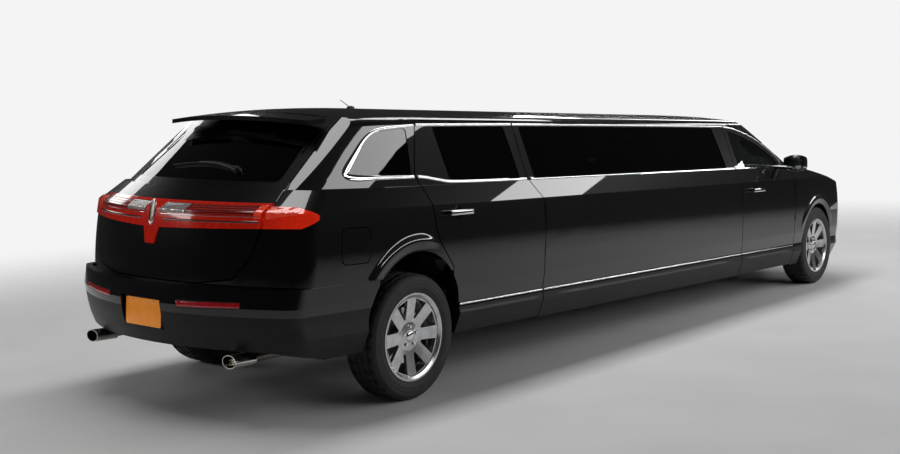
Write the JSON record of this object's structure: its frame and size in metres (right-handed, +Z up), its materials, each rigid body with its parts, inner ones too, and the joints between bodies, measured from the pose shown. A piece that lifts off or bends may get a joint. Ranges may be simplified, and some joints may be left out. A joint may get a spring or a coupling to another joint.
{
  "type": "stretch limousine",
  "caption": "Stretched estate limousine with opening doors, bonnet, liftgate and fuel flap, steered front wheels and a hollow fitted cabin.",
  "frame": {"origin": "middle of the car's length and width, on the ground under the tyres", "axes": "+X towards the bonnet, +Y to the car's left, +Z up"},
  "size_m": [8.3172, 2.3, 1.7084],
  "materials": {
    "body_paint": "black high gloss",
    "privacy_glass": "dark tinted",
    "clear_glass": "light tint",
    "black_trim": "fine grain, satin",
    "grille_bars": "bright plated",
    "lamp_lens": "red, clear coat",
    "head_lens": "clear",
    "frame_steel": "black wax",
    "floor_carpet": "dark carpet",
    "tank_plastic": "moulded",
    "pipe_steel": "stainless, tips bright",
    "engine_iron": "cast",
    "seat_leather": "black, grained",
    "dash_plastic": "grained",
    "console_wood": "dark varnish",
    "partition_board": "padded cloth",
    "alloy": "painted silver",
    "tyre_rubber": "black"
  },
  "bodies": {
    "car_body": {"roof_panel": "body_paint", "quarter_panels": "body_paint", "stretch_panels": "body_paint", "front_fenders": "body_paint", "cowl": "black_trim", "windscreen": "clear_glass", "side_windows": "privacy_glass", "front_bumper": "body_paint", "grille": "grille_bars", "headlamps": "head_lens", "rear_bumper": "body_paint", "rear_valance": "black_trim", "tail_lamps": "lamp_lens", "floor_pan": "floor_carpet", "underframe": "frame_steel", "wheel_liners": "black_trim", "fuel_tank": "tank_plastic", "exhaust": "pipe_steel", "engine_block": "engine_iron", "front_seats": "seat_leather", "dashboard": "dash_plastic", "partition": "partition_board", "bar_console": "console_wood", "bench_seats": "seat_leather", "front_subframe": "frame_steel", "rear_axle": "frame_steel"},
    "steering_wheel": {"steering_wheel": "dash_plastic"},
    "bonnet": {"bonnet": "body_paint"},
    "liftgate": {"liftgate": "body_paint", "liftgate_glass": "privacy_glass", "light_bar": "lamp_lens"},
    "fuel_door": {"fuel_door": "body_paint"},
    "rear_door_right": {"rear_door_right": "body_paint", "rear_door_glass_right": "privacy_glass"},
    "front_door_right": {"front_door_right": "body_paint", "front_door_glass_right": "clear_glass"},
    "knuckle_right": {"knuckle_right": "engine_iron"},
    "wheel_front_right": {"rim_front_right": "alloy", "tyre_front_right": "tyre_rubber"},
    "wheel_rear_right": {"rim_rear_right": "alloy", "tyre_rear_right": "tyre_rubber"},
    "rear_door_left": {"rear_door_left": "body_paint", "rear_door_glass_left": "privacy_glass"},
    "front_door_left": {"front_door_left": "body_paint", "front_door_glass_left": "clear_glass"},
    "knuckle_left": {"knuckle_left": "engine_iron"},
    "wheel_front_left": {"rim_front_left": "alloy", "tyre_front_left": "tyre_rubber"},
    "wheel_rear_left": {"rim_rear_left": "alloy", "tyre_rear_left": "tyre_rubber"}
  },
  "joints": [
    {"name": "rear_door_right_hinge", "type": "hinge", "parent": "car_body", "child": "rear_door_right", "pos_m": [-1.57855, -0.964, 0.87702], "axis": [0.0175, 0, 0.9998], "range_deg": [0, 65]},
    {"name": "front_door_right_hinge", "type": "hinge", "parent": "car_body", "child": "front_door_right", "pos_m": [2.55782, -0.964, 0.80482], "axis": [0.0175, 0, 0.9998], "range_deg": [0, 65]},
    {"name": "rear_door_left_hinge", "type": "hinge", "parent": "car_body", "child": "rear_door_left", "pos_m": [-1.57855, 0.964, 0.87702], "axis": [-0.0175, 0, -0.9998], "range_deg": [0, 65]},
    {"name": "front_door_left_hinge", "type": "hinge", "parent": "car_body", "child": "front_door_left", "pos_m": [2.55782, 0.964, 0.80482], "axis": [-0.0175, 0, -0.9998], "range_deg": [0, 65]},
    {"name": "bonnet_hinge", "type": "hinge", "parent": "car_body", "child": "bonnet", "pos_m": [2.84475, 0, 1.14118], "axis": [0, -1, 0], "range_deg": [0, 50]},
    {"name": "liftgate_hinge", "type": "hinge", "parent": "car_body", "child": "liftgate", "pos_m": [-3.16954, 0, 1.69368], "axis": [0, 1, 0], "range_deg": [0, 75]},
    {"name": "fuel_door_hinge", "type": "hinge", "parent": "car_body", "child": "fuel_door", "pos_m": [-3.29807, -0.95063, 0.94804], "axis": [0.0175, 0, 0.9998], "range_deg": [0, 95]},
    {"name": "steer_right", "type": "hinge", "parent": "car_body", "child": "knuckle_right", "pos_m": [3.13995, -0.8, 0.37], "axis": [0, 0, 1], "range_deg": [-33, 33]},
    {"name": "steer_left", "type": "hinge", "parent": "car_body", "child": "knuckle_left", "pos_m": [3.13995, 0.8, 0.37], "axis": [0, 0, 1], "range_deg": [-33, 33]},
    {"name": "steering_wheel_turn", "type": "hinge", "parent": "car_body", "child": "steering_wheel", "pos_m": [2.00406, 0.4, 0.93788], "axis": [-0.9063, 0, 0.4226], "range_deg": [-445.5, 445.5]},
    {"name": "wheel_front_right_spin", "type": "hinge", "parent": "knuckle_right", "child": "wheel_front_right", "pos_m": [3.13995, -0.827, 0.37], "axis": [0, 1, 0], "continuous": true},
    {"name": "wheel_rear_right_spin", "type": "hinge", "parent": "car_body", "child": "wheel_rear_right", "pos_m": [-2.90305, -0.827, 0.37], "axis": [0, 1, 0], "continuous": true},
    {"name": "wheel_front_left_spin", "type": "hinge", "parent": "knuckle_left", "child": "wheel_front_left", "pos_m": [3.13995, 0.827, 0.37], "axis": [0, 1, 0], "continuous": true},
    {"name": "wheel_rear_left_spin", "type": "hinge", "parent": "car_body", "child": "wheel_rear_left", "pos_m": [-2.90305, 0.827, 0.37], "axis": [0, 1, 0], "continuous": true}
  ],
  "couplings": [
    {"joint": "steer_left", "follows": "steer_right", "ratio": 1},
    {"joint": "steering_wheel_turn", "follows": "steer_right", "ratio": 13.5}
  ]
}
